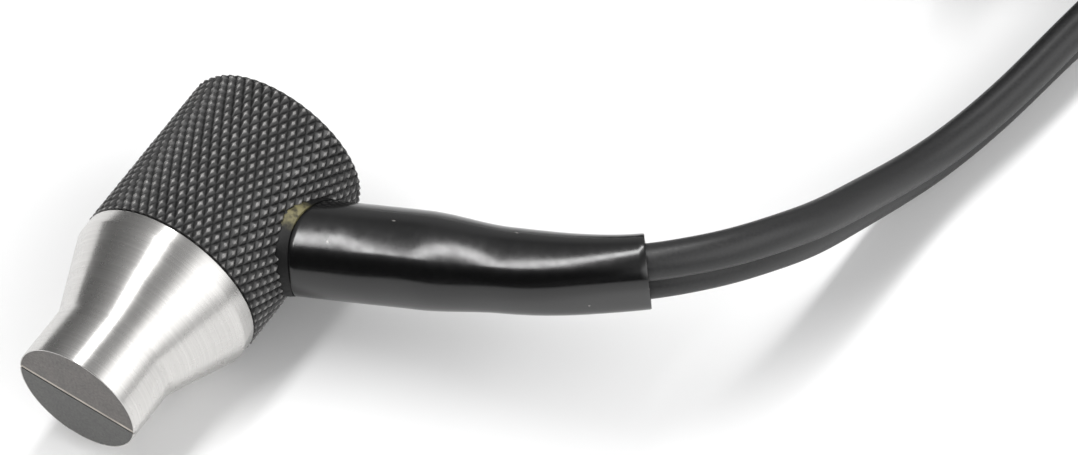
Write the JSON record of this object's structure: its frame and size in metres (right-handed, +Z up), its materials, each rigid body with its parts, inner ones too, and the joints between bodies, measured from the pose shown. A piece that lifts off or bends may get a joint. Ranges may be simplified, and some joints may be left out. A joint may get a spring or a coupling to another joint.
{
  "type": "ultrasonic thickness gauge probe",
  "caption": "Knurled round probe with a split flat contact face, a shrunk side sleeve and a twin lead that ends in push-pull coaxial plugs.",
  "frame": {"origin": "under the middle of the probe and its shrunk sleeve, on the surface that the probe lies on; the free lead and what is on it are not counted", "axes": "+X from the probe's axis towards the lead's exit, -Y out of the contact face along the probe's axis, +Z up from the surface"},
  "size_m": [0.094, 0.1399, 0.0143],
  "materials": {
    "turned_steel": "bright, fine turning marks",
    "black_oxide_metal": "black, fine diamond knurl with worn crests",
    "delay_resin": "lapped flat, fine straight scratches",
    "piezo_ceramic": "sintered, matt",
    "loaded_resin": "cast, matt",
    "barrier_cork": "bonded cork sheet",
    "tinned_copper": "drawn wire",
    "shield_brass": "drawn tube",
    "terminal_board": "laminate",
    "seal_rubber": "moulded, matt",
    "amber_adhesive": "hardened hot-melt, glossy",
    "heat_shrink": "glossy shrunk polyolefin",
    "lead_jacket": "satin extruded jacket",
    "tie_strap": "matt strap",
    "boot_rubber": "moulded, satin",
    "satin_nickel": "satin nickel plate",
    "plug_insulator": "machined, matt",
    "gold_contact": "gold plate"
  },
  "bodies": {
    "probe": {"nose_housing": "turned_steel", "joint_seal": "seal_rubber", "delay_line_transmit": "delay_resin", "delay_line_receive": "delay_resin", "acoustic_barrier": "barrier_cork", "crystal_transmit": "piezo_ceramic", "crystal_receive": "piezo_ceramic", "backing_transmit": "loaded_resin", "backing_receive": "loaded_resin", "crystal_wire_transmit": "tinned_copper", "crystal_wire_receive": "tinned_copper", "shield_tube": "shield_brass", "terminal_board": "terminal_board", "knurled_cap": "black_oxide_metal", "potting_block": "loaded_resin", "exit_ferrule": "turned_steel", "crimp_ring": "turned_steel", "adhesive_bead": "amber_adhesive", "heat_shrink_sleeve": "heat_shrink", "signal_wire_transmit": "tinned_copper", "signal_wire_receive": "tinned_copper", "ground_wire": "tinned_copper", "twin_lead_root": "lead_jacket", "twin_lead": "lead_jacket", "twin_lead_coil": "lead_jacket", "coil_tie_near": "tie_strap", "coil_tie_far": "tie_strap", "twin_lead_end": "lead_jacket", "split_sleeve": "heat_shrink", "tail_transmit": "lead_jacket", "tail_receive": "lead_jacket", "boot_transmit": "boot_rubber", "collet_nut_transmit": "satin_nickel", "plug_barrel_transmit": "satin_nickel", "latch_ring_transmit": "satin_nickel", "plug_insulator_transmit": "plug_insulator", "centre_contact_transmit": "gold_contact", "boot_receive": "boot_rubber", "collet_nut_receive": "satin_nickel", "plug_barrel_receive": "satin_nickel", "latch_ring_receive": "satin_nickel", "plug_insulator_receive": "plug_insulator", "centre_contact_receive": "gold_contact"},
    "release_transmit": {"release_sleeve_transmit": "satin_nickel"},
    "release_receive": {"release_sleeve_receive": "satin_nickel"}
  },
  "joints": [
    {"name": "transmit_release_slide", "type": "slide", "parent": "probe", "child": "release_transmit", "axis": [0, 1, 0], "range_m": [0, 0.001], "stiffness_N_per_m": 3000},
    {"name": "receive_release_slide", "type": "slide", "parent": "probe", "child": "release_receive", "axis": [0, 1, 0], "range_m": [0, 0.001], "stiffness_N_per_m": 3000}
  ]
}
